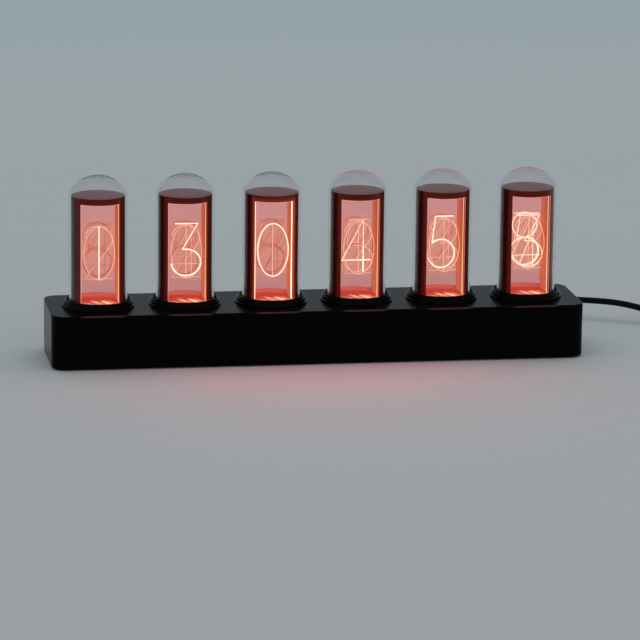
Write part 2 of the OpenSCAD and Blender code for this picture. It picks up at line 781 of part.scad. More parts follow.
housing();
bottom_cover();
cover_screws();
feet();
main_board();
board_screws();
board_chips();
board_sockets();
battery_holder();
coin_cell();
usb_jack();
switch_bodies();
for (b = [0:2]) button(b - 1);
for (i = [1:tube_count]) {
  collar(i);
  glass_cover(i);
  sleeve(i);
  digit_plates(i);
  plate_holder(i);
  led_board(i);
}
cord_plug();
cord_plug_shell();
cord_run();
cord_coil();
cord_tie();
supply_plug();
supply_plug_shell();
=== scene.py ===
"""Looks of the desk clock with six digit tubes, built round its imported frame.

Metres, in the part's own frame: X runs along the housing, -Y is the front, +Z is up, and the desk
is at z 0.
"""

import json
from math import cos, pi, radians, sin, sqrt

import bmesh
import bpy
from mathutils import Matrix, Vector


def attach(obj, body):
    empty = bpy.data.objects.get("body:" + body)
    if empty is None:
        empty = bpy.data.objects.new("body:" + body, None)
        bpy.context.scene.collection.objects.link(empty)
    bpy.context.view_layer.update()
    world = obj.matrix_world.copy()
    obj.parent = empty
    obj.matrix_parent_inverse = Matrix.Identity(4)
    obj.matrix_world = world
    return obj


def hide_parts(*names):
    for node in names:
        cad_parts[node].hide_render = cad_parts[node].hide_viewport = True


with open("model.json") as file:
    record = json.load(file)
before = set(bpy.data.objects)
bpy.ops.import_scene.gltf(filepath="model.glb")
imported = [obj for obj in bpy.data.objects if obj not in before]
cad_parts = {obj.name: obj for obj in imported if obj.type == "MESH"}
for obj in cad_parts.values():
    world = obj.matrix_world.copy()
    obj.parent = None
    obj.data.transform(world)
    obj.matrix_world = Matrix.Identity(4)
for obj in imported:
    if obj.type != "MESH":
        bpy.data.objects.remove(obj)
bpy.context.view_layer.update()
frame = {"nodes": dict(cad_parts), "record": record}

scene = bpy.context.scene
scene.view_settings.view_transform = "Standard"
bpy.ops.object.select_all(action="DESELECT")

# ---- sizes, as in the part's source ----

MM = 0.001
TUBES = range(1, 7)
TUBE_PITCH = 44.652 * MM
DESK_TO_CEILING = 25.1 * MM
DESK_TO_DECK = 28.1 * MM
COLLAR_BORE = 15.3 * MM
SPIGOT_R = 16.4 * MM
FLANGE_R = 18.7 * MM
COLLAR_R = 17.9 * MM
LIP_R = 17.0 * MM
GLASS_R = 15.0 * MM
GLASS_WALL = 0.9 * MM
GLASS_FOOT = 26.1 * MM
CROWN_R = 17.25 * MM
CROWN_MIDDLE = 78.55 * MM
KNUCKLE_R = 6.0 * MM
KNUCKLE_MIDDLE = 85.3 * MM
CROWN_MEETS_KNUCKLE = 36.87      # degrees
SLEEVE_R = 13.8 * MM
SLEEVE_BORE = 12.8 * MM
SLEEVE_FOOT = 20.0 * MM
SLEEVE_TOP = 85.7 * MM
SLEEVE_CAP = 1.2 * MM
SLEEVE_GAP = 0.3 * MM
SKIRT_R = 17.58 * MM
SKIRT_T = 1.5 * MM
WINDOW_W = 20.2 * MM
WINDOW_LOW = 31.3 * MM
WINDOW_HIGH = 82.2 * MM
PLATE_W = 19.2 * MM
PLATE_T = 1.0 * MM
PLATE_FOOT = 22.6 * MM
PLATE_TOP = 84.2 * MM
PLATE_PITCH = 1.5 * MM
PLATE_COUNT = 10
HOLDER_R = 12.72 * MM
BACK = 26.5 * MM
JACK_X = 112.0 * MM
LEAD_Z = 9.0 * MM
LEAD_D = 3.4 * MM
LEAD_R = LEAD_D / 2


def tube_x(tube):
    return (tube - (len(TUBES) + 1) / 2) * TUBE_PITCH


def plate_y(digit):
    """The plates stand in the order of their digits, 0 in front and 9 behind."""
    return (digit - (PLATE_COUNT - 1) / 2) * PLATE_PITCH


# ---- camera, as fitted to the photograph ----

CAMERA_PLACE = Vector((-0.32065, -1.97796, 0.46946))
CAMERA_TARGET = Vector((0.00349, 0, 0.017447))
CAMERA_ROLL = radians(0.66)
CAMERA_LENS = 223.53
SENSOR_W = 36


def stand_camera():
    bpy.ops.object.camera_add(location=CAMERA_PLACE)
    camera = bpy.context.object
    camera.name = "photo_camera"
    camera.data.lens = CAMERA_LENS
    camera.data.sensor_width = SENSOR_W
    ahead = (CAMERA_TARGET - CAMERA_PLACE).normalized()
    right = ahead.cross(Vector((0, 0, 1))).normalized()
    up = right.cross(ahead)
    side = right * cos(CAMERA_ROLL) + up * sin(CAMERA_ROLL)
    above = up * cos(CAMERA_ROLL) - right * sin(CAMERA_ROLL)
    turn = Matrix((side, above, -ahead)).transposed()
    camera.matrix_world = Matrix.Translation(CAMERA_PLACE) @ turn.to_4x4()
    scene.camera = camera
    camera.select_set(False)


stand_camera()


# ---- modelling helpers ----

MERGE_WITHIN = 0.002 * MM
CLOSE_WITHIN = 0.01 * MM


def select_only(piece):
    bpy.ops.object.select_all(action="DESELECT")
    bpy.context.view_layer.objects.active = piece
    piece.select_set(True)


def open_mesh(piece):
    """Takes one piece into edit mode, with nothing else selected."""
    select_only(piece)
    bpy.ops.object.mode_set(mode="EDIT")


def close_mesh():
    bpy.ops.object.mode_set(mode="OBJECT")
    bpy.ops.object.select_all(action="DESELECT")


def select_where(piece, kind, wanted):
    """In edit mode, selects the faces or edges that wanted(middle, way) is true for.

    A face's way is its normal, and an edge's is its direction."""
    bpy.ops.mesh.select_all(action="DESELECT")
    bpy.ops.mesh.select_mode(type=kind)
    mesh = bmesh.from_edit_mesh(piece.data)
    if kind == "FACE":
        for face in mesh.faces:
            face.select = wanted(face.calc_center_median(), face.normal)
    else:
        for edge in mesh.edges:
            first, last = edge.verts[0].co, edge.verts[1].co
            edge.select = wanted((first + last) / 2, (last - first).normalized())
    mesh.select_flush_mode()
    bmesh.update_edit_mesh(piece.data)


def along_y(middle, way):
    """True for an edge that runs front to back, and for a face that looks that way."""
    return abs(way.y) > 0.9


def settle(piece, name=None):
    """Puts a finished piece's place into its mesh, so that its object sits at the origin."""
    select_only(piece)
    bpy.ops.object.transform_apply(location=True, rotation=True, scale=True)
    piece.select_set(False)
    if name:
        piece.name = name
        piece.data.name = name
    return piece


def block(size, middle=(0, 0, 0), name=None):
    bpy.ops.mesh.primitive_cube_add(location=middle, scale=[side / 2 for side in size])
    return settle(bpy.context.object, name)


def smooth_faces(piece, angle=radians(35)):
    select_only(piece)
    bpy.ops.object.shade_smooth_by_angle(angle=angle)
    piece.select_set(False)


def apply_modifier(piece, name, kind, **settings):
    modifier = piece.modifiers.new(name, kind)
    for setting, value in settings.items():
        setattr(modifier, setting, value)
    bpy.context.view_layer.objects.active = piece
    bpy.ops.object.modifier_apply(modifier=modifier.name)


def bow(middle_x, middle_z, radius_x, radius_z, start, end, steps=28):
    """Points of an upright oval's arc, from start to end degrees, 0 to the right and 90 up."""
    turns = [radians(start + (end - start) * k / steps) for k in range(steps + 1)]
    return [(middle_x + radius_x * cos(turn), middle_z + radius_z * sin(turn)) for turn in turns]


def arc(middle_r, middle_z, radius, start, end, steps):
    """Points of a round arc in a turned outline."""
    return bow(middle_r, middle_z, radius, radius, start, end, steps)


def turned(name, outline, steps):
    """Turns a closed outline of (radius, height) points round the upright axis."""
    bpy.ops.mesh.primitive_plane_add(size=MM, location=(outline[0][0], 0, outline[0][1]))
    piece = settle(bpy.context.object, name)
    open_mesh(piece)
    bpy.ops.mesh.select_mode(type="VERT")
    bpy.ops.mesh.select_all(action="SELECT")
    bpy.ops.mesh.merge(type="CENTER")
    for (r0, z0), (r1, z1) in zip(outline, outline[1:]):
        step = (r1 - r0, 0, z1 - z0)
        bpy.ops.mesh.extrude_region_move(TRANSFORM_OT_translate={"value": step})
    bpy.ops.mesh.select_all(action="SELECT")
    bpy.ops.mesh.spin(steps=steps, angle=2 * pi, center=(0, 0, 0), axis=(0, 0, 1))
    bpy.ops.mesh.select_all(action="SELECT")
    bpy.ops.mesh.remove_doubles(threshold=MERGE_WITHIN)
    bpy.ops.mesh.normals_make_consistent(inside=False)
    close_mesh()
    smooth_faces(piece)
    return piece


def round_line(name, lines, radius, smoothness):
    """A round curve along each line of points. A line whose ends meet is closed."""
    curve = bpy.data.curves.new(name, "CURVE")
    curve.dimensions = "3D"
    for line in lines:
        closed = (line[0] - line[-1]).length < CLOSE_WITHIN
        points = line[:-1] if closed else line
        spline = curve.splines.new("POLY")
        spline.points.add(len(points) - 1)
        spline.use_cyclic_u = closed
        for point, place in zip(spline.points, points):
            point.co = (*place, 1)
    curve.bevel_depth = radius
    curve.bevel_resolution = smoothness
    curve.use_fill_caps = True
    piece = bpy.data.objects.new(name, curve)
    scene.collection.objects.link(piece)
    return piece


def copied(piece, name, place):
    """A copy with its own mesh, moved to its place."""
    select_only(piece)
    bpy.ops.object.duplicate()
    copy = bpy.context.object
    copy.location = place
    return settle(copy, name)


def one_per_tube(piece, stem):
    """Copies a piece that was made on the upright axis to every tube, and removes it."""
    copies = [copied(piece, f"{stem}_{tube}", (tube_x(tube), 0, 0)) for tube in TUBES]
    bpy.data.objects.remove(piece)
    return copies


def joined(pieces, name):
    bpy.ops.object.select_all(action="DESELECT")
    for piece in pieces:
        piece.select_set(True)
    bpy.context.view_layer.objects.active = pieces[0]
    bpy.ops.object.join()
    return settle(bpy.context.object, name)


# ---- nodes and shared effects ----

BLACK = (0, 0, 0)
NOISE_LOW, NOISE_HIGH = 0.3, 0.7      # nearly all of a noise lies between them


def add(tree, kind, inputs=(), **settings):
    """Adds a node, and fills its inputs with values or with other nodes' outputs."""
    node = tree.nodes.new(kind)
    for setting, value in settings.items():
        setattr(node, setting, value)
    for socket, value in dict(inputs).items():
        if isinstance(value, bpy.types.NodeSocket):
            tree.links.new(value, node.inputs[socket])
        else:
            node.inputs[socket].default_value = value
    return node


def maths(tree, operation, *values):
    return add(tree, "ShaderNodeMath", enumerate(values), operation=operation).outputs[0]


def product(tree, first, *others):
    for value in others:
        first = maths(tree, "MULTIPLY", first, value)
    return first


def spread(tree, value, low, high, to_low=0.0, to_high=1.0):
    limits = {0: value, 1: low, 2: high, 3: to_low, 4: to_high}
    return add(tree, "ShaderNodeMapRange", limits).outputs[0]


def blend_colours(tree, factor, first, second):
    """Mixes two colours, each a plain one or another node's output."""
    first, second = (colour if isinstance(colour, bpy.types.NodeSocket) else (*colour, 1)
                     for colour in (first, second))
    return add(tree, "ShaderNodeMix", {0: factor, 6: first, 7: second}, data_type="RGBA").outputs[2]


def colour_steps(tree, factor, stops):
    ramp = add(tree, "ShaderNodeValToRGB", {0: factor})
    points = ramp.color_ramp.elements
    while len(points) < len(stops):
        points.new(0.5)
    for point, (place, colour) in zip(points, stops):
        point.position = place
        point.color = (*colour, 1)
    return ramp.outputs[0]


def object_place(tree):
    return add(tree, "ShaderNodeTexCoord").outputs["Object"]


def facing_up(tree, low, high):
    """From 0 to 1, as the normal's upward part goes from low to high."""
    normal = add(tree, "ShaderNodeNewGeometry").outputs["Normal"]
    upwards = add(tree, "ShaderNodeSeparateXYZ", {0: normal}).outputs[2]
    return spread(tree, upwards, low, high)


def shared_effect(name, inputs, outputs):
    """An empty node group with named inputs and outputs."""
    tree = bpy.data.node_groups.new(name, "ShaderNodeTree")
    for label, kind, value in inputs:
        kind = "NodeSocket" + kind
        socket = tree.interface.new_socket(label, in_out="INPUT", socket_type=kind)
        socket.default_value = value
    for label in outputs:
        tree.interface.new_socket(label, in_out="OUTPUT", socket_type="NodeSocketFloat")
    return tree, add(tree, "NodeGroupInput").outputs, add(tree, "NodeGroupOutput").inputs


def tube_place_effect():
    """Where a point lies in its own tube, with its distance from the tube's axis."""
    labels = ("Across", "Deep", "Up", "Radius")
    tree, _, result = shared_effect("tube place", [], labels)
    x, deep, up = add(tree, "ShaderNodeSeparateXYZ", {0: object_place(tree)}).outputs
    along = maths(tree, "FRACT", maths(tree, "DIVIDE", x, TUBE_PITCH))
    across = maths(tree, "MULTIPLY", maths(tree, "SUBTRACT", along, 0.5), TUBE_PITCH)
    flat = add(tree, "ShaderNodeCombineXYZ", {0: across, 1: deep}).outputs[0]
    radius = add(tree, "ShaderNodeVectorMath", {0: flat}, operation="LENGTH").outputs["Value"]
    for label, value in zip(labels, (across, deep, up, radius)):
        tree.links.new(value, result[label])
    return tree


def fine_grain_effect():
    """Fine grain and larger patches, from 0 to 1, in a surface's own place."""
    tree, given, result = shared_effect(
        "fine grain",
        [("Grain Size", "Float", 0.2 * MM), ("Patch Size", "Float", 12 * MM),
         ("Stretch", "Vector", (1, 1, 1))],
        ["Grain", "Patches"])
    place = object_place(tree)
    stretched = add(tree, "ShaderNodeVectorMath", {0: place, 1: given["Stretch"]},
                    operation="MULTIPLY").outputs[0]
    for label, where, size, detail in (("Grain", stretched, "Grain Size", 2),
                                       ("Patches", place, "Patch Size", 4)):
        scale = maths(tree, "DIVIDE", 1.0, given[size])
        noise = add(tree, "ShaderNodeTexNoise", {"Vector": where, "Scale": scale, "Detail": detail})
        tree.links.new(noise.outputs[0], result[label])
    return tree


def edge_wear_effect():
    """Where an outer edge is worn, from 0 to 1, broken up by the given patches."""
    tree, given, result = shared_effect(
        "edge wear",
        [("Width", "Float", 0.4 * MM), ("Amount", "Float", 0.5), ("Patches", "Float", 0.5)],
        ["Wear"])
    rounded = add(tree, "ShaderNodeBevel", {"Radius": given["Width"]}, samples=4).outputs[0]
    normal = add(tree, "ShaderNodeNewGeometry").outputs["Normal"]
    agree = add(tree, "ShaderNodeVectorMath", {0: rounded, 1: normal}, operation="DOT_PRODUCT")
    edge = spread(tree, agree.outputs["Value"], 0.995, 0.85)
    broken = spread(tree, given["Patches"], 0.35, 0.65, 0.3, 1.0)
    tree.links.new(product(tree, edge, broken, given["Amount"]), result["Wear"])
    return tree


def settled_dust_effect():
    """A thin, uneven film of dust on what faces up, from 0 to 1."""
    speck_scale = 2600.0
    tree, given, result = shared_effect(
        "settled dust", [("Amount", "Float", 0.3), ("Patches", "Float", 0.5)], ["Dust"])
    up = facing_up(tree, 0.6, 1.0)
    specks = add(tree, "ShaderNodeTexNoise",
                 {"Vector": object_place(tree), "Scale": speck_scale, "Detail": 2.0}).outputs[0]
    speckled = spread(tree, specks, 0.45, 0.75, 0.35, 1.0)
    tree.links.new(product(tree, up, speckled, given["Patches"], given["Amount"]), result["Dust"])
    return tree


TUBE_PLACE = tube_place_effect()
FINE_GRAIN = fine_grain_effect()
EDGE_WEAR = edge_wear_effect()
SETTLED_DUST = settled_dust_effect()


def effect(tree, group, **inputs):
    """Places a shared effect; an input's underscores stand for spaces."""
    named = {label.replace("_", " "): value for label, value in inputs.items()}
    return add(tree, "ShaderNodeGroup", named, node_tree=group).outputs


class Finish:
    """A material on one Principled shader, with its plain values set on the shader's own sockets.

    Its grain, where it has one, is given as the grain's size, the patches' size and the stretch."""

    def __init__(self, name, grain=None, **plain):
        self.material = bpy.data.materials.new(name)
        self.material.use_nodes = True
        self.tree = self.material.node_tree
        self.shader = self.tree.nodes["Principled BSDF"]
        for label, value in plain.items():
            self.shader.inputs[label.replace("_", " ")].default_value = value
        if grain:
            size, patch_size, *stretch = grain
            self.grain, self.patches = effect(
                self.tree, FINE_GRAIN, Grain_Size=size, Patch_Size=patch_size,
                Stretch=stretch[0] if stretch else (1, 1, 1))

    def feed(self, label, value):
        self.tree.links.new(value, self.shader.inputs[label])

    def patchy(self, first, second):
        """A colour that goes from the first to the second from patch to patch."""
        return colour_steps(self.tree, self.patches, [(NOISE_LOW, first), (NOISE_HIGH, second)])

    def paint(self, colour):
        self.feed("Base Color", colour)

    def glow(self, colour):
        self.feed("Emission Color", colour)
        self.shader.inputs["Emission Strength"].default_value = 1.0

    def roughen(self, smooth, rough):
        self.feed("Roughness", spread(self.tree, self.grain, NOISE_LOW, NOISE_HIGH, smooth, rough))

    def relief(self, height, strength, distance):
        bump = add(self.tree, "ShaderNodeBump",
                   {"Strength": strength, "Distance": distance, "Height": height})
        self.feed("Normal", bump.outputs[0])

    def worn(self, colour, worn_colour, width, amount):
        """The colour, with another one on the worn edges."""
        wear = effect(self.tree, EDGE_WEAR, Width=width, Amount=amount, Patches=self.patches)
        return blend_colours(self.tree, wear["Wear"], colour, worn_colour)


# ---- finishes ----

def black_anodised():
    """Satin black anodising on brushed metal, a little lighter at its edges.

    The upper front edge has a painted red glint under each tube, which stands in for the red light
    of the windows behind it."""
    finish = Finish("satin black anodised metal with a painted red glint", (0.12 * MM, 18 * MM, (0.08, 1, 1)),
                    Specular_IOR_Level=0.035)
    tree = finish.tree
    tube = effect(tree, TUBE_PLACE)
    # painted reflection: a red glint on the upper front edge, in front of each tube
    before = spread(tree, maths(tree, "ABSOLUTE", tube["Across"]), 9 * MM, 12 * MM, 1.0, 0.0)
    in_front = maths(tree, "LESS_THAN", tube["Deep"], 0.8 * MM - BACK)
    on_top = maths(tree, "GREATER_THAN", tube["Up"], DESK_TO_DECK - 0.7 * MM)
    lit = product(tree, before, in_front, on_top)
    finish.glow(blend_colours(tree, lit, BLACK, (0.035, 0.014, 0.017)))
    edged = finish.worn((0.001, 0.001, 0.0012), (0.02, 0.02, 0.022), 0.35 * MM, 0.5)
    dust = effect(tree, SETTLED_DUST, Amount=0.03, Patches=finish.patches)
    finish.paint(blend_colours(tree, dust["Dust"], edged, (0.2, 0.195, 0.19)))
    finish.roughen(0.15, 0.24)
    finish.relief(finish.grain, 0.06, 0.01 * MM)
    return finish.material


def turned_anodised():
    """The collars' gloss black, with the fine rings that a lathe leaves.

    Behind the tube, the lip's inside has a painted red glow, which stands in for the light that
    comes out of the rear window."""
    ring_pitch = 0.18 * MM
    lip_inside, lip_top = 16.4 * MM, 16.7 * MM
    finish = Finish("gloss black turned metal with a painted red glow", (0.15 * MM, 9 * MM), Specular_IOR_Level=0.06)
    tree = finish.tree
    tube = effect(tree, TUBE_PLACE)
    # painted light: a red glow on the lip's inside, behind the tube
    near_middle = spread(tree, maths(tree, "ABSOLUTE", tube["Across"]), 8 * MM, 11 * MM, 1.0, 0.0)
    behind = maths(tree, "GREATER_THAN", tube["Deep"], 0.0)
    inside = spread(tree, tube["Radius"], lip_inside, lip_top, 1.0, 0.0)
    lit = product(tree, near_middle, behind, inside)
    finish.glow(blend_colours(tree, lit, BLACK, (0.42, 0.11, 0.095)))
    finish.paint(finish.worn((0.0015, 0.0015, 0.0017), (0.02, 0.02, 0.021), 0.25 * MM, 0.4))
    finish.roughen(0.12, 0.2)
    rings = maths(tree, "SINE", maths(tree, "MULTIPLY", tube["Radius"], 2 * pi / ring_pitch))
    finish.relief(maths(tree, "ADD", rings, finish.grain), 0.05, 0.004 * MM)
    return finish.material


def clear_glass(name, painted_crown_line, painted_crown_glow):
    """Clear tube glass, which lets the lamps' light through.

    Its crown has a painted dark line where it is seen edge-on, and on some tubes that line also has
    a painted red glow."""
    line_starts, line_full = 92.2 * MM, 93.8 * MM
    finish = Finish(name, (0.6 * MM, 22 * MM), IOR=1.33, Specular_Tint=(0.1, 0.1, 0.1, 1),
                    Transmission_Weight=1.0)
    tree = finish.tree
    facing = add(tree, "ShaderNodeLayerWeight", {"Blend": 0.5}).outputs["Facing"]
    height = effect(tree, TUBE_PLACE)["Up"]
    # painted line, and painted glow, where the crown is seen edge-on
    painted_line_mask = product(tree, spread(tree, facing, 0.68, 0.76),
                      spread(tree, height, line_starts, line_full))
    clear = finish.patchy((0.935, 0.905, 0.915), (0.97, 0.945, 0.95))
    finish.paint(blend_colours(tree, painted_line_mask, clear, painted_crown_line))
    finish.glow(blend_colours(tree, painted_line_mask, BLACK, painted_crown_glow))
    finish.feed("Roughness", spread(tree, finish.patches, 0.35, 0.7, 0.0, 0.015))
    through = add(tree, "ShaderNodeBsdfTransparent", {0: (0.93, 0.94, 0.95, 1)}).outputs[0]
    shadow = add(tree, "ShaderNodeLightPath").outputs["Is Shadow Ray"]
    either = add(tree, "ShaderNodeMixShader", {0: shadow, 1: finish.shader.outputs[0], 2: through})
    tree.links.new(either.outputs[0], tree.nodes["Material Output"].inputs["Surface"])
    return finish.material


# the painted red glow of the sleeve film away from the windows
PAINTED_FILM_GLOW = (0.06, 0.006, 0.004)


def sleeve_film(name, halo):
    """Dark film on the sleeve, with a painted red glow round the windows for the light inside, and
    painted light on its upward-facing top.
    """
    finish = Finish(name, (0.3 * MM, 8 * MM), Specular_IOR_Level=0.05)
    tree = finish.tree
    tube = effect(tree, TUBE_PLACE)
    aside = maths(tree, "SUBTRACT", maths(tree, "ABSOLUTE", tube["Across"]), WINDOW_W / 2)
    over = maths(tree, "MAXIMUM", maths(tree, "SUBTRACT", tube["Up"], WINDOW_HIGH),
                 maths(tree, "SUBTRACT", WINDOW_LOW, tube["Up"]))
    off_window = maths(tree, "MAXIMUM", product(tree, aside, 1.8), product(tree, over, 0.7))
    # halo is the painted glow's colour at the window's edge; the painted glow fades away from it
    painted_warm_glow = tuple(0.3 * c + 0.7 * b for c, b in zip(halo, PAINTED_FILM_GLOW))
    finish.glow(colour_steps(tree, spread(tree, off_window, 0, 4 * MM), [
        (0.0, halo), (0.15, painted_warm_glow), (0.5, PAINTED_FILM_GLOW), (0.8, (0.02, 0.0015, 0.0008)),
        (1.0, (0.014, 0.001, 0.0006))]))
    film = finish.patchy((0.004, 0.0015, 0.0013), (0.007, 0.0022, 0.002))
    # painted light: the sleeve's upward-facing top is much lighter than the rest of the film
    painted_top_light = (0.175, 0.145, 0.155)
    finish.paint(blend_colours(tree, facing_up(tree, 0.6, 0.9), film, painted_top_light))
    finish.roughen(0.28, 0.38)
    finish.relief(finish.grain, 0.04, 0.01 * MM)
    return finish.material


def up_the_window(tree, low=0.0, high=1.0):
    """From low to high, as a point goes from the windows' lower edge to the upper one."""
    return spread(tree, effect(tree, TUBE_PLACE)["Up"], WINDOW_LOW, WINDOW_HIGH, low, high)


def sleeve_lining():
    """The sleeve's inside, with a painted orange glow for the light of the plates' bright edges."""
    finish = Finish("sleeve lining with painted orange light", (0.4 * MM, 6 * MM), Specular_IOR_Level=0.4)
    finish.paint(finish.patchy((0.05, 0.015, 0.01), (0.08, 0.02, 0.012)))
    finish.roughen(0.35, 0.5)
    finish.glow(colour_steps(finish.tree, up_the_window(finish.tree), [
        (0.0, (0.40, 0.04, 0.02)), (0.25, (0.36, 0.06, 0.025)), (0.7, (0.34, 0.055, 0.02)),
        (1.0, (0.30, 0.045, 0.02))]))
    return finish.material


def window_rim():
    """The sleeve's cut edge round a window, with a painted glow for the light that comes out there.
    """
    finish = Finish("window rim with a painted glow", (0.4 * MM, 4 * MM), Specular_IOR_Level=0.3, Roughness=0.35)
    finish.paint(finish.patchy((0.3, 0.08, 0.05), (0.4, 0.12, 0.08)))
    finish.glow(finish.patchy((0.5, 0.17, 0.1), (0.85, 0.38, 0.25)))
    return finish.material


def plate_faces():
    """Clear plate, faintly filled with the red light that runs up in it."""
    finish = Finish("clear lit plate", (0.5 * MM, 7 * MM), IOR=1.49, Specular_IOR_Level=0.1,
                    Roughness=0.1, Alpha=0.03)
    finish.paint(finish.patchy((0.25, 0.09, 0.05), (0.32, 0.12, 0.07)))
    finish.glow(colour_steps(finish.tree, up_the_window(finish.tree), [
        (0.0, (0.72, 0.05, 0.03)), (0.07, (0.68, 0.10, 0.07)), (0.17, (0.69, 0.12, 0.08)),
        (0.26, (0.94, 0.19, 0.07)), (0.72, (0.97, 0.19, 0.06)), (0.82, (0.84, 0.18, 0.14)),
        (1.0, (0.80, 0.18, 0.16))]))
    return finish.material


def plate_edges(name, low, high):
    """A plate's polished side edge, bright with the light that leaves it there."""
    finish = Finish(name, (0.4 * MM, 5 * MM, (1, 1, 0.3)), Specular_IOR_Level=0.3, Roughness=0.3)
    tree = finish.tree
    uneven_up = maths(tree, "ADD", up_the_window(tree, high=0.7), product(tree, finish.grain, 0.3))
    finish.paint(finish.patchy((0.25, 0.1, 0.06), (0.35, 0.15, 0.09)))
    finish.glow(colour_steps(tree, uneven_up, [(0.0, high), (0.5, low), (1.0, low)]))
    return finish.material


def digit_lines(name, glow, tone, alpha=1.0):
    """The engraved line of a digit, made of fine dots that catch the plate's light."""
    dot_scale = 3200.0
    finish = Finish(name, Roughness=0.5, Alpha=alpha)
    tree = finish.tree
    dots = add(tree, "ShaderNodeTexVoronoi", {"Vector": object_place(tree), "Scale": dot_scale})
    base, glowing = (
        colour_steps(tree, dots.outputs["Distance"], [
            (0.1, tuple(1.1 * c for c in colour)), (0.6, tuple(0.85 * c for c in colour))])
        for colour in (tone, glow))
    finish.paint(base)
    finish.glow(glowing)
    return finish.material


def glowing_holder():
    """Red moulding lit from under it: brighter to the front, with slanting lines of light."""
    line_pitch = 1.3 * MM
    finish = Finish("glowing red holder", (0.35 * MM, 5 * MM, (1, 0.15, 1)), Specular_IOR_Level=0.3)
    tree = finish.tree
    tube = effect(tree, TUBE_PLACE)
    across, deep = tube["Across"], tube["Deep"]
    red = colour_steps(tree, spread(tree, deep, -HOLDER_R, HOLDER_R), [
        (0.0, (0.62, 0.10, 0.06)), (0.12, (0.52, 0.06, 0.035)), (0.45, (0.36, 0.022, 0.012)),
        (0.85, (0.26, 0.012, 0.008)), (0.93, (0.28, 0.025, 0.018)), (1.0, (0.42, 0.10, 0.085))])
    near_middle = spread(tree, maths(tree, "ABSOLUTE", across), 2 * MM, 8 * MM, 1.0, 0.0)
    to_front = spread(tree, deep, 1 * MM, -6 * MM)
    slanted = maths(tree, "ADD", across, product(tree, deep, 0.35))
    drawn_out = add(tree, "ShaderNodeCombineXYZ", {0: slanted, 1: product(tree, deep, 0.06)})
    lines = add(tree, "ShaderNodeTexNoise", {
        "Vector": drawn_out.outputs[0], "Scale": 1 / line_pitch, "Detail": 0.0}).outputs[0]
    streaks = product(tree, spread(tree, lines, 0.53, 0.6), near_middle, to_front)
    finish.glow(blend_colours(tree, streaks, red, (1.8, 1.1, 0.6)))
    finish.paint(finish.patchy((0.12, 0.015, 0.01), (0.16, 0.02, 0.014)))
    finish.roughen(0.3, 0.45)
    return finish.material


def plain_finish(name, dark, light, rough, grain_size=0.3 * MM, metal=0.0, shine=0.5, bump=0.1,
                 wear=0.0, worn=BLACK, stretch=(1, 1, 1)):
    """A moulded, rubbery or metal surface with patches of tone, fine grain and worn edges."""
    finish = Finish(name, (grain_size, 25 * grain_size, stretch),
                    Metallic=metal, Specular_IOR_Level=shine)
    colour = finish.patchy(dark, light)
    finish.paint(finish.worn(colour, worn, 0.2 * MM, wear) if wear else colour)
    finish.roughen(*rough)
    finish.relief(finish.grain, bump, 0.03 * MM)
    return finish.material


def solder_mask():
    """Green board with fine copper tracks under the mask."""
    finish = Finish("green circuit board", (0.4 * MM, 9 * MM), Specular_IOR_Level=0.5)
    tree = finish.tree
    tracks = add(tree, "ShaderNodeTexBrick", {
        "Vector": object_place(tree), "Scale": 1.0, "Mortar Size": 0.12 * MM,
        "Brick Width": 6.3 * MM, "Row Height": 1.27 * MM}).outputs["Fac"]
    green = finish.patchy((0.012, 0.07, 0.025), (0.02, 0.1, 0.035))
    finish.paint(blend_colours(tree, tracks, green, (0.05, 0.17, 0.06)))
    finish.roughen(0.3, 0.45)
    finish.relief(tracks, 0.2, 0.03 * MM)
    return finish.material


FINISHES = {
    "anodised_black": black_anodised(),
    "collar_black": turned_anodised(),
    # the plain glass's crown has a painted dark line where it is seen edge-on
    "clear_glass": clear_glass("clear tube glass", (0.04, 0.035, 0.04), BLACK),
    "sleeve_dark": sleeve_film("dark sleeve film with a painted glow and painted top light", (0.075, 0.007, 0.004)),
    "light_plate": plate_faces(),
    "holder_red": glowing_holder(),
    "button_black": plain_finish(
        "satin black button", (0.01, 0.01, 0.011), (0.016, 0.016, 0.018), (0.3, 0.42),
        metal=0.6, wear=0.5, worn=(0.12, 0.12, 0.13)),
    "circuit_board": solder_mask(),
    "dark_plastic": plain_finish(
        "moulded black plastic", (0.012, 0.012, 0.014), (0.022, 0.022, 0.024), (0.4, 0.55),
        wear=0.3, worn=(0.06, 0.06, 0.06)),
    "steel": plain_finish(
        "bright nickel steel", (0.55, 0.55, 0.57), (0.66, 0.66, 0.67), (0.22, 0.36), metal=1.0,
        grain_size=0.15 * MM, bump=0.04, wear=0.4, worn=(0.8, 0.8, 0.8), stretch=(1, 0.2, 1)),
    "foot_rubber": plain_finish(
        "soft black rubber", (0.018, 0.018, 0.018), (0.03, 0.03, 0.03), (0.7, 0.85),
        shine=0.3, bump=0.3),
    "tie_rubber": plain_finish(
        "matt black rubber band", (0.022, 0.022, 0.024), (0.036, 0.036, 0.038), (0.6, 0.8),
        shine=0.3, bump=0.3),
    "lead_rubber": plain_finish(
        "satin black jacket", (0.002, 0.002, 0.0024), (0.004, 0.004, 0.0045), (0.42, 0.58),
        shine=0.1, bump=0.15, grain_size=0.25 * MM)}
PAINTED_RED_CROWN_GLASS = clear_glass(
    "clear tube glass with a painted red crown line", (0.05, 0.025, 0.03), (0.2, 0.03, 0.05))
LINING = sleeve_lining()
RIM = window_rim()
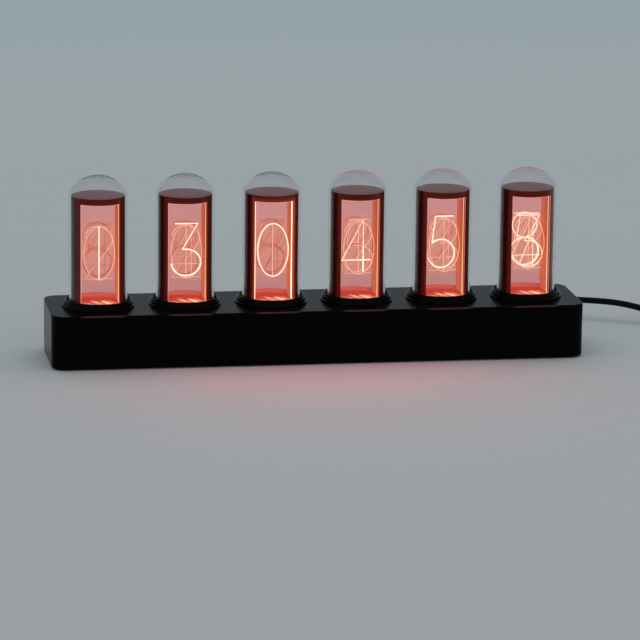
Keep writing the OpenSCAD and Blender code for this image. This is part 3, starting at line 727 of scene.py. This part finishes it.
# a brighter painted red glow, for the tube whose front digit is lit
STRONG_PAINTED_GLOW_FILM = sleeve_film("sleeve film with a bright painted red glow", (0.4, 0.05, 0.03))
PLATE_EDGE = plate_edges("orange plate edge", (0.22, 0.04, 0.015), (0.5, 0.16, 0.07))
FRONT_PLATE_EDGE = plate_edges(
    "bright edge of the front plate", (0.95, 0.52, 0.3), (1.4, 0.9, 0.55))
LIT_PLATE_EDGE = plate_edges(
    "bright edge of the lit front plate", (2.0, 1.45, 1.0), (2.6, 1.95, 1.4))
LIT_TONE = (0.85, 0.8, 0.75)
LIT_LINE = digit_lines("lit digit line", (1.8, 1.2, 0.85), LIT_TONE)
DEEP_LIT_LINE = digit_lines("lit digit line behind other plates", (2.7, 2.0, 1.5), LIT_TONE)
HALO = digit_lines("light round a lit digit", (1.1, 0.5, 0.3), (0.3, 0.15, 0.1), alpha=0.055)
HALF_LIT_LINE = digit_lines("half-lit digit line", (2.1, 1.4, 1.0), (0.8, 0.7, 0.6))
NEAR_LINE = digit_lines("digit line that catches light", (1.2, 0.62, 0.42), (0.75, 0.6, 0.5))
FAR_LINE = digit_lines("dim digit line", (0.38, 0.03, 0.02), (0.03, 0.01, 0.01))


def dress(piece, slot, nodes=(), body="base"):
    """Gives a new piece its finish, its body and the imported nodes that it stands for."""
    if not piece.data.materials:
        piece.data.materials.append(FINISHES[slot])
    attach(piece, body)
    if nodes:
        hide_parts(*nodes)


# ---- collars, glass covers and sleeves ----

def make_collars():
    """From the bore round over the lip, the step and the flange, and down the spigot."""
    deck, foot = DESK_TO_DECK, DESK_TO_CEILING
    seat_bore = SLEEVE_R + SLEEVE_GAP
    bore_chamfer = 0.1 * MM
    # radii of the rounded lip, step and flange, and of the fillets at the feet of lip and step
    lip, step, flange, fillet = 0.45 * MM, 0.4 * MM, 0.5 * MM, 0.12 * MM
    # heights of the bore's top and the ledge, and of the roundings' middles
    bore_z, ledge_z, lip_z, lip_fillet_z, step_z, step_fillet_z = (
        deck + height * MM for height in (2.0, 2.1, 3.45, 2.82, 2.3, 1.12))
    outline = [(seat_bore, foot), (seat_bore, GLASS_FOOT), (COLLAR_BORE, GLASS_FOOT),
               (COLLAR_BORE, bore_z), (COLLAR_BORE + bore_chamfer, ledge_z),
               (LIP_R - 2 * lip, ledge_z)]
    outline += arc(LIP_R - lip, lip_z, lip, 180, 0, 10)
    outline += arc(LIP_R + fillet, lip_fillet_z, fillet, 180, 270, 3)
    outline += arc(COLLAR_R - step, step_z, step, 90, 0, 5)
    outline += arc(COLLAR_R + fillet, step_fillet_z, fillet, 180, 270, 3)
    outline += arc(FLANGE_R - flange, deck + flange, flange, 90, -90, 8)
    outline += [(SPIGOT_R, deck), (SPIGOT_R, foot), (seat_bore, foot)]
    return one_per_tube(turned("collar", outline, steps=112), "turned_collar")


def dome(shrink):
    """The dome's outline from its foot up to the middle of its crown."""
    foot_rounding = 0.45 * MM
    straight = [GLASS_FOOT + rise for rise in (foot_rounding, 15 * MM, 30 * MM, 45 * MM)]
    knuckle = arc(GLASS_R - KNUCKLE_R, KNUCKLE_MIDDLE, KNUCKLE_R - shrink,
                  0, CROWN_MEETS_KNUCKLE, 12)
    crown = arc(0, CROWN_MIDDLE, CROWN_R - shrink, CROWN_MEETS_KNUCKLE, 90, 18)
    return [(GLASS_R - shrink, height) for height in straight] + knuckle + crown[1:]


def make_glass_covers():
    """Domed tubes with a rounded foot."""
    half = GLASS_WALL / 2
    outline = dome(0) + dome(GLASS_WALL)[::-1]
    outline += arc(GLASS_R - half, GLASS_FOOT + half, half, 180, 360, 8)[1:]
    return one_per_tube(turned("glass", outline, steps=128), "domed_glass")


def make_closed_sleeve():
    """A tube with a closed top and a foot flange."""
    cap_r = 0.5 * MM
    flat_r = 6 * MM
    skirt_top, skirt_foot = DESK_TO_CEILING, DESK_TO_CEILING - SKIRT_T
    outline = [(0, SLEEVE_TOP), (flat_r, SLEEVE_TOP)]
    outline += arc(SLEEVE_R - cap_r, SLEEVE_TOP - cap_r, cap_r, 90, 0, 5)
    outline += [(SLEEVE_R, skirt_top), (SKIRT_R, skirt_top), (SKIRT_R, skirt_foot),
                (SLEEVE_R, skirt_foot), (SLEEVE_R, SLEEVE_FOOT), (SLEEVE_BORE, SLEEVE_FOOT),
                (SLEEVE_BORE, SLEEVE_TOP - SLEEVE_CAP), (0, SLEEVE_TOP - SLEEVE_CAP)]
    return turned("sleeve", outline, steps=128)


def cut_windows(sleeve):
    """Cuts a window with rounded corners right through, front and back."""
    height, through = WINDOW_HIGH - WINDOW_LOW, 40 * MM
    window = block((WINDOW_W, through, height), (0, 0, WINDOW_LOW + height / 2))
    open_mesh(window)
    select_where(window, "EDGE", along_y)
    bpy.ops.mesh.bevel(offset=0.25 * MM, segments=3)
    close_mesh()
    apply_modifier(sleeve, "windows", "BOOLEAN", operation="DIFFERENCE", object=window)
    bpy.data.objects.remove(window)


def from_window_side(middle):
    return abs(abs(middle.x) - WINDOW_W / 2)


def from_window_end(middle):
    return min(abs(middle.z - WINDOW_LOW), abs(middle.z - WINDOW_HIGH))


def is_lining(middle, normal):
    inwards = middle.x * normal.x + middle.y * normal.y < 0
    within_wall = middle.to_2d().length < (SLEEVE_R + SLEEVE_BORE) / 2
    under_cap = normal.z < -0.9 and middle.z > WINDOW_HIGH + MM
    return middle.z > SLEEVE_FOOT + MM and (inwards and within_wall or under_cap)


def is_window_cut(middle, normal):
    side = abs(normal.x) > 0.99 and from_window_side(middle) < 0.05 * MM
    end = abs(normal.z) > 0.9 and from_window_end(middle) < 0.3 * MM
    return side or end


def is_outer_window_edge(middle, way):
    outside = middle.to_2d().length > SLEEVE_R - 0.1 * MM
    level = WINDOW_LOW - 0.01 * MM < middle.z < WINDOW_HIGH + 0.01 * MM
    return outside and level and (
        from_window_end(middle) < 0.27 * MM or from_window_side(middle) < 0.02 * MM)


def make_sleeves():
    """Closed tubes with a window in front and behind, lined with painted light."""
    sleeve = make_closed_sleeve()
    cut_windows(sleeve)
    sleeve.data.materials.clear()
    for material in (FINISHES["sleeve_dark"], LINING, RIM):
        sleeve.data.materials.append(material)
    lining, rim = 1, 2
    open_mesh(sleeve)
    for material_index, wanted in ((lining, is_lining), (rim, is_window_cut)):
        select_where(sleeve, "FACE", wanted)
        sleeve.active_material_index = material_index
        bpy.ops.object.material_slot_assign()
    select_where(sleeve, "EDGE", is_outer_window_edge)
    bpy.ops.mesh.bevel(offset=0.35 * MM, segments=2, material=rim)
    close_mesh()
    smooth_faces(sleeve)
    return one_per_tube(sleeve, "windowed_sleeve")


# ---- digit plates ----

def make_plates(lit_digit):
    """Ten clear plates side by side on the upright axis, with glowing side edges."""
    height = PLATE_TOP - PLATE_FOOT
    plates = []
    for digit in range(PLATE_COUNT):
        plate = block((PLATE_W, PLATE_T, height), (0, plate_y(digit), PLATE_FOOT + height / 2))
        if digit > 0:
            edge, chamfer = PLATE_EDGE, 0.08 * MM
        elif lit_digit > 0:
            edge, chamfer = FRONT_PLATE_EDGE, 0.22 * MM
        else:
            edge, chamfer = LIT_PLATE_EDGE, 0.44 * MM
        for material in (FINISHES["light_plate"], edge):
            plate.data.materials.append(material)
        open_mesh(plate)
        bpy.ops.mesh.select_all(action="SELECT")
        bpy.ops.mesh.bevel(offset=chamfer, segments=1)
        select_where(plate, "FACE", lambda middle, normal: abs(normal.x) > 0.5)
        plate.active_material_index = 1
        bpy.ops.object.material_slot_assign()
        close_mesh()
        plates.append(plate)
    return joined(plates, "plates")


# ---- digits ----

DIGIT_FOOT = 42.8 * MM
DIGIT_X = -0.2 * MM
DIGIT_H = 27.6       # in mm, as all of the strokes: X from the digit's middle, Z from its foot
SIX = [(3.0, DIGIT_H), (-5.9, 11.35)] + bow(0, 7.2, 7.2, 7.2, 145, -215, 48)
STROKES = {
    0: [bow(0, 13.8, 7.8, 13.75, 90, 450, 56)],
    1: [[(0, 0), (0, DIGIT_H)]],
    2: [bow(0, 20.5, 7.0, 7.1, 172, -32) + [(-7.0, 0), (7.2, 0)]],
    3: [[(-5.2, DIGIT_H), (6.4, DIGIT_H), (-1.5, 14.2)] + bow(0.35, 7.3, 7.6, 6.9, 100, -174)],
    4: [[(3.3, 0), (3.3, DIGIT_H), (-7.8, 6.3), (7.1, 6.3)]],
    5: [[(6.1, DIGIT_H), (-3.3, DIGIT_H), (-4.95, 14.3)] + bow(-0.2, 8.05, 7.0, 7.45, 130, -161)],
    6: [SIX],
    7: [[(-6.4, DIGIT_H), (7.4, DIGIT_H), (-2.8, 0)]],
    8: [bow(0, 7.25, 7.4, 7.25, 90, 450, 44), bow(0, 21.05, 6.5, 6.55, -90, 270, 40)],
    9: [[(-x, DIGIT_H - z) for x, z in SIX]]}
LINE_SIZES = {       # the lines' width and thickness
    "lit": (0.56 * MM, 0.2 * MM), "half": (0.4 * MM, 0.18 * MM),
    "fine": (0.23 * MM, 0.14 * MM), "halo": (1.6 * MM, 0.1 * MM)}

# by tube
SHOWN = {1: 1, 2: 3, 3: 0, 4: 4, 5: 5, 6: 8}
HALF_SHOWN = {6: (3, 4, 5, 7)}
RAISED = {5: 0.5 * MM, 6: 0.7 * MM}
# tubes whose glass crown has a painted red glow
PAINTED_RED_CROWNS = (4, 5, 6)
DEEP_FROM = 3        # the first digit whose plate has so many before it that its line is brighter


def make_digit(digit, width, thick):
    """The engraved line of a digit as a flat ribbon on the front of its plate."""
    lines = [[Vector((x * MM, 0, z * MM)) for x, z in line] for line in STROKES[digit]]
    select_only(round_line(f"digit_{digit}", lines, width / 2, smoothness=1))
    bpy.ops.object.convert(target="MESH")
    ribbon = bpy.context.object
    ribbon.scale = (1, thick / width, 1)
    ribbon.location = (DIGIT_X, plate_y(digit) - PLATE_T / 2 - thick / 2, DIGIT_FOOT)
    return settle(ribbon)


def make_digits():
    """Every tube's ten digits. Those before the lit one and just behind it catch its light."""
    patterns = {kind: {digit: make_digit(digit, *size) for digit in STROKES}
                for kind, size in LINE_SIZES.items()}
    for tube in TUBES:
        lit, half = SHOWN[tube], HALF_SHOWN.get(tube, ())
        rest = [digit for digit in STROKES if digit != lit and digit not in half]
        near = [digit for digit in rest if digit <= lit + 1]
        far = [digit for digit in rest if digit > lit + 1]
        lit_line = DEEP_LIT_LINE if lit >= DEEP_FROM else LIT_LINE
        for stem, kind, digits, material in (
                ("lit_digit", "half" if half else "lit", [lit], lit_line),
                ("digit_halo", "halo", [lit], HALO),
                ("half_lit_digits", "half", half, HALF_LIT_LINE),
                ("near_digits", "fine", near, NEAR_LINE),
                ("far_digits", "fine", far, FAR_LINE)):
            if not digits:
                continue
            place = (tube_x(tube), 0, RAISED.get(tube, 0))
            lines = [copied(patterns[kind][digit], "line", place) for digit in digits]
            piece = joined(lines, f"{stem}_{tube}")
            piece.data.materials.clear()
            piece.data.materials.append(material)
            dress(piece, "light_plate")
    for of_one_kind in patterns.values():
        for pattern in of_one_kind.values():
            bpy.data.objects.remove(pattern)


# ---- the power lead ----

# X and Y from the middle of the socket's mouth, Z from the desk, in mm
LEAD_RUN = [
    (0, 30.5, 9), (0, 34.5, 9), (0.7, 39.5, 9), (3, 44.5, 9.1), (6.6, 48.4, 9.2),
    (11.3, 50.9, 9.3), (16.5, 51.8, 9.4), (22, 51.1, 9.5), (28, 48.5, 9.6), (34, 45.3, 9.7),
    (40, 42.1, 9.8), (46.3, 38.7, 10), (52.6, 35.2, 10.2), (59, 31.6, 10.2), (64, 28.7, 9.9),
    (69, 25.8, 9.3), (74, 23.1, 8.3), (79, 20.4, 6.8), (84, 17.6, 5), (88.4, 15, 3.4),
    (91.8, 13, 2.5), (95, 11.2, 2.3)]
# distance ahead of the coil's mouth, and height, in mm
LEAD_TAIL = [(5, 6.0), (10, 5.1), (15, 4.4), (18.6, 4.1), (22, 4.1)]
COIL_HEADING = radians(-30)
COIL_R = 26.3
COIL_STEP = 3.9
LAYER_TURNS = 3.5
POINTS_PER_TURN = 40
SOCKET_MOUTH = Vector((JACK_X / MM, BACK / MM, 0))
COIL_AHEAD = Vector((cos(COIL_HEADING), sin(COIL_HEADING), 0))
COIL_LEFT = Vector((-sin(COIL_HEADING), cos(COIL_HEADING), 0))
COIL_START = SOCKET_MOUTH + Vector(LEAD_RUN[-1])
COIL_MOUTH = COIL_START + COIL_AHEAD * LEAD_D / MM
COIL_CENTRE = COIL_MOUTH + COIL_LEFT * COIL_R
FLAT_MOUTH = Vector((COIL_MOUTH.x, COIL_MOUTH.y, 0))


def smooth_line(points, steps):
    """Points on a smooth line through the given ones."""
    line = []
    for k in range(len(points) - 1):
        p0, p1 = points[max(k - 1, 0)], points[k]
        p2, p3 = points[k + 1], points[min(k + 2, len(points) - 1)]
        for s in range(steps):
            t = s / steps
            line.append(0.5 * (2 * p1 + (p2 - p0) * t + (2 * p0 - 5 * p1 + 4 * p2 - p3) * t ** 2
                               + (3 * p1 - p0 - 3 * p2 + p3) * t ** 3))
    return line + [points[-1]]


def coil_point(turn):
    """The lead winds inwards on the desk, climbs a layer, and winds outwards on top of it."""
    angle = COIL_HEADING - pi / 2 + 2 * pi * turn
    inwards = turn if turn < LAYER_TURNS else 2 * LAYER_TURNS - turn
    radius = COIL_R - COIL_STEP * inwards
    climb = min(max(2 * (turn - LAYER_TURNS) + 0.5, 0), 1)
    return Vector((COIL_CENTRE.x + radius * cos(angle), COIL_CENTRE.y + radius * sin(angle),
                   COIL_START.z + COIL_STEP * climb ** 2 * (3 - 2 * climb)))


def lead_line():
    run = smooth_line([SOCKET_MOUTH + Vector(p) for p in LEAD_RUN], 4)
    coil = [coil_point(k / POINTS_PER_TURN)
            for k in range(int(2 * LAYER_TURNS * POINTS_PER_TURN) + 1)]
    ahead = [FLAT_MOUTH + COIL_AHEAD * d + Vector((0, 0, z)) for d, z in LEAD_TAIL]
    tail = smooth_line([coil[-1]] + ahead, 3)
    return [p * MM for p in run + coil + tail[1:]]


def make_lead():
    return round_line("power_lead", [lead_line()], LEAD_R, smoothness=4)


# ---- plugs and tie ----

GRIP_R = 8 * MM                      # the hollow grip on a plug's broad sides
GRIP_DEPTH = 0.6 * MM
BROAD_SIDE = 0.3                     # as a share of the plug's height, from its middle
CUTS_START, CUTS_SPAN = 0.12, 0.76   # as shares of its length, as the next one
RIDGED = 0.16
CUT_COUNT = 24
RIDGE_PITCH = 1.6 * MM
RIDGE_H = 0.12 * MM
RELIEF_WALL = 1.6 * MM
RELIEF_TAPER = 0.8 * MM
RING_PITCH = 2 * MM
GROOVE_DEPTH = 0.45 * MM


def draw_in_grip(body, length, height):
    """In edit mode, draws a plug's broad sides in to a hollow grip with ridges across it."""
    mesh = bmesh.from_edit_mesh(body.data)
    for vertex in mesh.verts:
        off = vertex.co.y - length / 2
        if abs(off) < GRIP_R and abs(vertex.co.z) > height * BROAD_SIDE:
            waist = height / 2 + GRIP_R - GRIP_DEPTH - sqrt(GRIP_R ** 2 - off ** 2)
            ridged = abs(off) < length * RIDGED
            ridge = RIDGE_H * max(cos(2 * pi * off / RIDGE_PITCH), 0) if ridged else 0
            if abs(vertex.co.z) > waist - ridge:
                vertex.co.z = (waist - ridge) * (1 if vertex.co.z > 0 else -1)
    bmesh.update_edit_mesh(body.data)


def make_strain_relief(start, length):
    """A tapered sleeve along +Y round the lead, cut into rings."""
    wide = LEAD_R + RELIEF_WALL
    outline = [(0, start - 0.5 * MM), (wide, start - 0.5 * MM), (wide, start)]
    rings = int(length / RING_PITCH)
    for k in range(rings):
        ring = start + RING_PITCH * k
        thick = wide - RELIEF_TAPER * k / rings
        thin = thick - GROOVE_DEPTH
        outline += [(thin, ring + 0.1 * MM), (thin, ring + 0.9 * MM), (thick, ring + 1.0 * MM),
                    (thick - 0.05 * MM, ring + 1.8 * MM), (thin - 0.05 * MM, ring + 1.95 * MM)]
    outline += [(LEAD_R + 0.15 * MM, start + length), (0, start + length)]
    relief = turned("relief", outline, steps=40)
    relief.rotation_euler = (-pi / 2, 0, 0)
    settle(relief)
    smooth_faces(relief, radians(30))
    return relief


def make_plug(name, width, height, length, relief_l):
    """A moulded plug body along +Y from the origin, with a grip and a strain relief."""
    body = block((width, length, height), (0, length / 2, 0), name)
    open_mesh(body)
    select_where(body, "EDGE", along_y)
    bpy.ops.mesh.bevel(offset=height / 2 - 0.6 * MM, segments=6)
    select_where(body, "FACE", along_y)
    bpy.ops.mesh.select_mode(type="EDGE")
    bpy.ops.mesh.bevel(offset=0.5 * MM, segments=3)
    for cut in range(1, CUT_COUNT):
        bpy.ops.mesh.select_all(action="SELECT")
        cut_y = length * (CUTS_START + CUTS_SPAN * cut / CUT_COUNT)
        bpy.ops.mesh.bisect(plane_co=(0, cut_y, 0), plane_no=(0, 1, 0))
    draw_in_grip(body, length, height)
    close_mesh()
    smooth_faces(body, radians(40))
    return joined([body, make_strain_relief(length, relief_l)], name)


def make_lead_plug():
    plug = make_plug("lead_plug", width=12 * MM, height=6.2 * MM, length=20.5 * MM,
                     relief_l=10 * MM)
    plug.location = (JACK_X, BACK, LEAD_Z)
    return settle(plug)


def make_supply_plug():
    """The plug at the lead's far end, which points back at the lead."""
    length, relief_l = 26, 9
    lead_end, lead_end_z = LEAD_TAIL[-1]
    supply = make_plug("supply_plug_body", width=15.6 * MM, height=8 * MM, length=length * MM,
                       relief_l=relief_l * MM)
    far = (lead_end + relief_l + length) * MM
    supply.rotation_euler = (0, 0, COIL_HEADING + pi / 2)
    supply.location = FLAT_MOUTH * MM + COIL_AHEAD * far + Vector((0, 0, lead_end_z * MM))
    return settle(supply)


def make_tie():
    """A flat rubber band round all the turns, on the coil's far side."""
    slack, thick, wide = 0.4, 0.5, 7.0
    lead_r = LEAD_D / MM / 2
    near = sqrt((COIL_R - COIL_STEP * LAYER_TURNS) ** 2 - (wide / 2) ** 2) - lead_r - slack
    far = COIL_R - COIL_STEP / 2 + lead_r + slack
    high = COIL_STEP + LEAD_D / MM + 0.1
    outer_l, outer_h = (far - near + 2 * thick) * MM, (high + 2 * thick) * MM
    tie = block((outer_l, wide * MM, outer_h), name="rubber_tie")
    open_mesh(tie)
    select_where(tie, "EDGE", along_y)
    bpy.ops.mesh.bevel(offset=1.5 * MM, segments=6)
    select_where(tie, "FACE", along_y)
    bpy.ops.mesh.delete(type="FACE")
    close_mesh()
    apply_modifier(tie, "band wall", "SOLIDIFY", thickness=thick * MM, offset=-1)
    apply_modifier(tie, "broken edges", "BEVEL", width=0.14 * MM, segments=2,
                   limit_method="ANGLE", angle_limit=radians(40))
    smooth_faces(tie)
    across = COIL_HEADING + pi / 2
    tie.rotation_euler = (0, 0, across)
    middle = Vector((COIL_CENTRE.x, COIL_CENTRE.y, COIL_START.z + COIL_STEP / 2))
    middle += Vector((cos(across), sin(across), 0)) * (near + far) / 2
    tie.location = middle * MM
    return settle(tie)


# ---- put together ----

def dress_packed_nodes():
    """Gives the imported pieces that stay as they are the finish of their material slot."""
    for part in frame["record"]["subparts"]:
        node = frame["nodes"][part["node"]]
        node.data.materials.clear()
        node.data.materials.append(FINISHES[part["material_slot"]])


dress_packed_nodes()
shells = zip(make_collars(), make_glass_covers(), make_sleeves())
for tube, (collar, glass, sleeve) in enumerate(shells, 1):
    dress(collar, "collar_black", [f"collar_{tube}"])
    dress(glass, "clear_glass", [f"glass_cover_{tube}"], f"glass_{tube}")
    if tube in PAINTED_RED_CROWNS:
        glass.data.materials[0] = PAINTED_RED_CROWN_GLASS
    dress(sleeve, "sleeve_dark", [f"sleeve_{tube}"])
    if SHOWN[tube] == 0:
        sleeve.data.materials[0] = STRONG_PAINTED_GLOW_FILM
for tube in TUBES:
    plates = make_plates(SHOWN[tube])
    plates.location.x = tube_x(tube)
    dress(settle(plates, f"clear_plates_{tube}"), "light_plate", [f"digit_plates_{tube}"])
make_digits()
lead_plug, supply_plug = make_lead_plug(), make_supply_plug()
dress(lead_plug, "lead_rubber", ["cord_plug"])
dress(supply_plug, "lead_rubber", ["supply_plug"])
tie = make_tie()
dress(tie, "tie_rubber", ["cord_tie"])
lead = make_lead()
dress(lead, "lead_rubber", ["cord_run", "cord_coil"])


# ---- floor and light ----

FLOOR_W = 16
NEAR, FAR = -0.4, 1.2
ROOM_LIGHT = (0.78, 0.78, 0.78)
BACKDROP = (0.32, 0.36, 0.38)


def make_floor():
    """A wide floor, whose colour changes a little from before the clock to far behind it."""
    bpy.ops.mesh.primitive_plane_add(size=FLOOR_W)
    floor = settle(bpy.context.object, "pale_floor")
    finish = Finish("pale floor", Roughness=0.9, Specular_IOR_Level=0.0)
    tree = finish.tree
    deep = add(tree, "ShaderNodeSeparateXYZ", {0: object_place(tree)}).outputs[1]
    finish.paint(colour_steps(tree, spread(tree, deep, NEAR, FAR), [
        (0.0, (0.330, 0.360, 0.380)), (0.4, (0.316, 0.356, 0.374)), (1.0, (0.310, 0.372, 0.388))]))
    floor.data.materials.append(finish.material)


def set_world():
    """Even light all round, with a pale backdrop for the rays that look at it."""
    world = bpy.data.worlds.new("studio")
    scene.world = world
    world.use_nodes = True
    tree = world.node_tree
    seen = add(tree, "ShaderNodeLightPath").outputs
    reflected = maths(tree, "MAXIMUM", seen["Is Glossy Ray"], seen["Is Transmission Ray"])
    looked_at = maths(tree, "MAXIMUM", seen["Is Camera Ray"], reflected)
    sky = blend_colours(tree, looked_at, ROOM_LIGHT, BACKDROP)
    tree.links.new(sky, tree.nodes["Background"].inputs["Color"])
    tree.nodes["Background"].inputs["Strength"].default_value = 1.0


def hang_lamp(name, place, target, size, power, colour):
    """A flat lamp that isn't mirrored in the clock."""
    bpy.ops.object.light_add(type="AREA", location=place)
    lamp = bpy.context.object
    lamp.name = name
    lamp.data.shape = "RECTANGLE"
    lamp.data.size, lamp.data.size_y = size
    lamp.data.energy = power
    lamp.data.color = colour
    lamp.rotation_euler = (Vector(target) - Vector(place)).to_track_quat("-Z", "Y").to_euler()
    lamp.visible_glossy = False
    lamp.visible_transmission = False
    lamp.select_set(False)


make_floor()
set_world()
hang_lamp("overhead_softbox", place=(0.1, 0.5, 2.6), target=(0, 0, 0), size=(2.6, 2.0),
          power=20, colour=(1.0, 1.0, 1.0))
hang_lamp("red_window_light", place=(0, -0.03, 0.065), target=(0, -0.18, 0), size=(0.17, 0.03),
          power=0.078, colour=(1.0, 0.04, 0.03))

# light passes many thin plates before it leaves a tube
scene.cycles.transparent_max_bounces = 48
scene.cycles.max_bounces = 24
scene.cycles.transmission_bounces = 16
